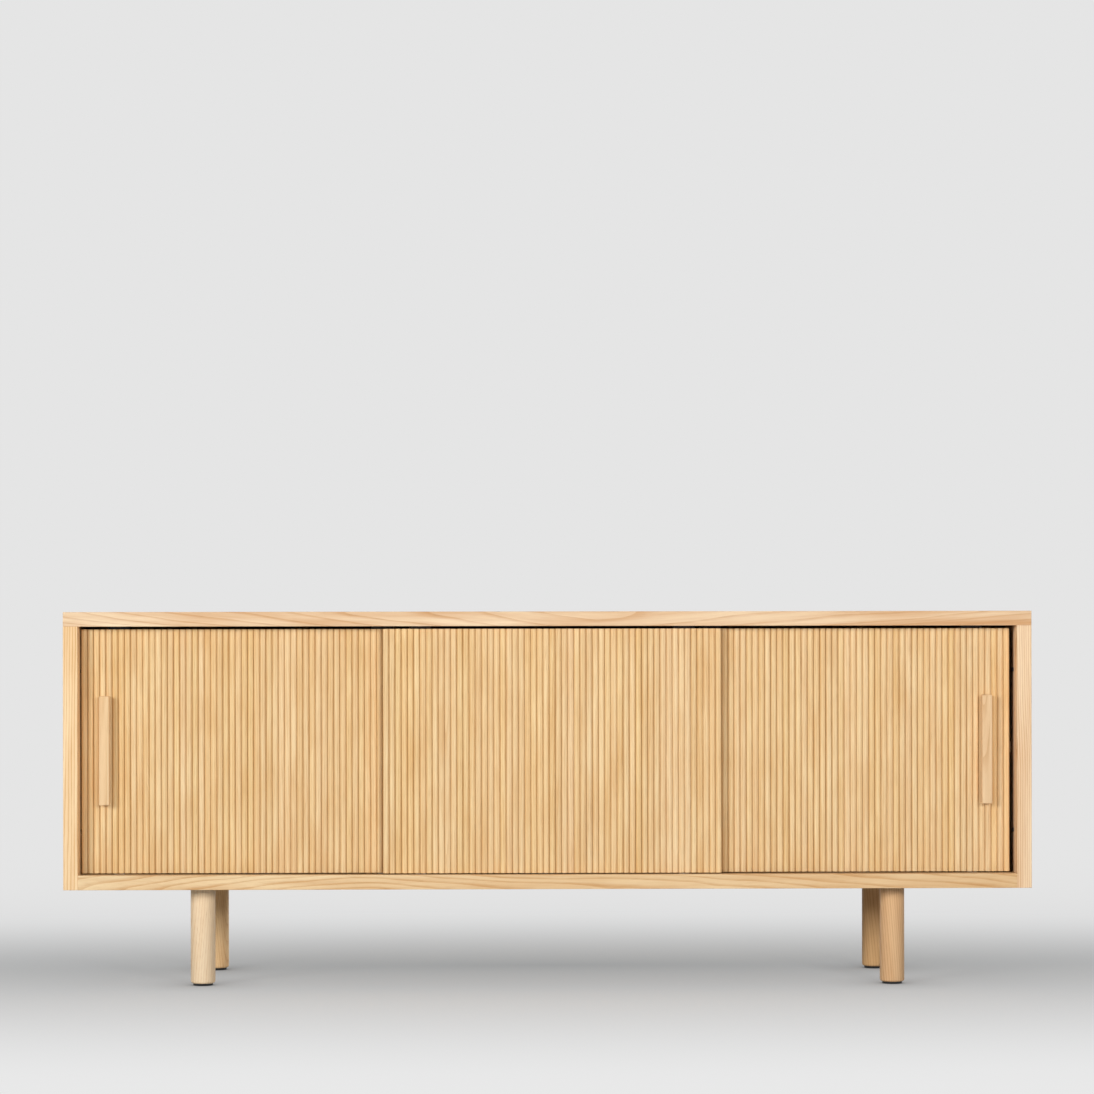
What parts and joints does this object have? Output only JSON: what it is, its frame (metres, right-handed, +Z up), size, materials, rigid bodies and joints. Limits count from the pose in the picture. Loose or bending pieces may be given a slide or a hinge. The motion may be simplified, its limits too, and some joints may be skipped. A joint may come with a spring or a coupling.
{
  "type": "media cabinet",
  "caption": "Low, wide media cabinet in pale ash on round legs, with slatted doors that slide past each other on tracks, wooden bar handles, shelves and cable ports.",
  "frame": {"origin": "on the floor, midway between the sides and between the front and the back", "axes": "+X along the front to the right as seen from the front, +Y from the front to the back, +Z up"},
  "size_m": [1.8, 0.45, 0.7],
  "materials": {
    "ash_case": "pale ash boards, clear satin oil",
    "ash_inside": "pale ash boards, clear satin oil",
    "ash_slats": "pale ash slats, clear satin oil",
    "ash_handles": "pale ash, sanded and oiled",
    "ash_legs": "turned pale ash, oiled",
    "ash_plywood": "ash-faced plywood, clear lacquer",
    "beech_dowel": "plain beech dowel",
    "bronzed_aluminium": "bronze anodised",
    "zinc_steel": "zinc plated",
    "white_nylon": "moulded nylon",
    "black_plastic": "moulded, fine texture",
    "black_rubber": "soft rubber"
  },
  "bodies": {
    "case": {"top_board": "ash_case", "bottom_board": "ash_case", "left_side_panel": "ash_case", "right_side_panel": "ash_case", "left_divider": "ash_inside", "right_divider": "ash_inside", "left_shelf": "ash_inside", "centre_shelf": "ash_inside", "right_shelf": "ash_inside", "front_left_leg": "ash_legs", "rear_left_leg": "ash_legs", "front_right_leg": "ash_legs", "rear_right_leg": "ash_legs", "back_panel": "ash_plywood", "case_dowels": "beech_dowel", "bottom_tracks": "bronzed_aluminium", "top_tracks": "bronzed_aluminium", "back_panel_screws": "zinc_steel", "leg_plate_screws": "zinc_steel", "leg_bolts": "zinc_steel", "leg_plates": "zinc_steel", "shelf_pins": "zinc_steel", "cable_port_trims": "black_plastic", "leg_glides": "black_plastic", "door_stops": "black_rubber"},
    "left_door": {"left_door_board": "ash_plywood", "left_door_slats": "ash_slats", "left_door_roller_housings": "black_plastic", "left_door_axles": "zinc_steel", "left_door_guides": "black_plastic", "left_handle": "ash_handles", "left_handle_screws": "zinc_steel"},
    "left_door_left_roller_body": {"left_door_left_roller": "white_nylon"},
    "left_door_right_roller_body": {"left_door_right_roller": "white_nylon"},
    "centre_door": {"centre_door_board": "ash_plywood", "centre_door_slats": "ash_slats", "centre_door_roller_housings": "black_plastic", "centre_door_axles": "zinc_steel", "centre_door_guides": "black_plastic"},
    "centre_door_left_roller_body": {"centre_door_left_roller": "white_nylon"},
    "centre_door_right_roller_body": {"centre_door_right_roller": "white_nylon"},
    "right_door": {"right_door_board": "ash_plywood", "right_door_slats": "ash_slats", "right_door_roller_housings": "black_plastic", "right_door_axles": "zinc_steel", "right_door_guides": "black_plastic", "right_handle": "ash_handles", "right_handle_screws": "zinc_steel"},
    "right_door_left_roller_body": {"right_door_left_roller": "white_nylon"},
    "right_door_right_roller_body": {"right_door_right_roller": "white_nylon"}
  },
  "joints": [
    {"name": "left_door_slide", "type": "slide", "parent": "case", "child": "left_door", "axis": [1, 0, 0], "range_m": [0, 0.23]},
    {"name": "left_door_left_roller_spin", "type": "hinge", "parent": "left_door", "child": "left_door_left_roller_body", "pos_m": [-0.8005, -0.1805, 0.2188], "axis": [0, 1, 0], "continuous": true},
    {"name": "left_door_right_roller_spin", "type": "hinge", "parent": "left_door", "child": "left_door_right_roller_body", "pos_m": [-0.3095, -0.1805, 0.2188], "axis": [0, 1, 0], "continuous": true},
    {"name": "centre_door_slide", "type": "slide", "parent": "case", "child": "centre_door", "axis": [1, 0, 0], "range_m": [-0.25, 0.23]},
    {"name": "centre_door_left_roller_spin", "type": "hinge", "parent": "centre_door", "child": "centre_door_left_roller_body", "pos_m": [-0.2378, -0.2005, 0.2188], "axis": [0, 1, 0], "continuous": true},
    {"name": "centre_door_right_roller_spin", "type": "hinge", "parent": "centre_door", "child": "centre_door_right_roller_body", "pos_m": [0.2532, -0.2005, 0.2188], "axis": [0, 1, 0], "continuous": true},
    {"name": "right_door_slide", "type": "slide", "parent": "case", "child": "right_door", "axis": [-1, 0, 0], "range_m": [-0.0065, 0.225]},
    {"name": "right_door_left_roller_spin", "type": "hinge", "parent": "right_door", "child": "right_door_left_roller_body", "pos_m": [0.303, -0.1805, 0.2188], "axis": [0, 1, 0], "continuous": true},
    {"name": "right_door_right_roller_spin", "type": "hinge", "parent": "right_door", "child": "right_door_right_roller_body", "pos_m": [0.794, -0.1805, 0.2188], "axis": [0, 1, 0], "continuous": true}
  ],
  "couplings": [
    {"joint": "left_door_left_roller_spin", "follows": "left_door_slide", "rad_per_m": 83.333},
    {"joint": "left_door_right_roller_spin", "follows": "left_door_slide", "rad_per_m": 83.333},
    {"joint": "centre_door_left_roller_spin", "follows": "centre_door_slide", "rad_per_m": 83.333},
    {"joint": "centre_door_right_roller_spin", "follows": "centre_door_slide", "rad_per_m": 83.333},
    {"joint": "right_door_left_roller_spin", "follows": "right_door_slide", "rad_per_m": -83.333},
    {"joint": "right_door_right_roller_spin", "follows": "right_door_slide", "rad_per_m": -83.333}
  ]
}
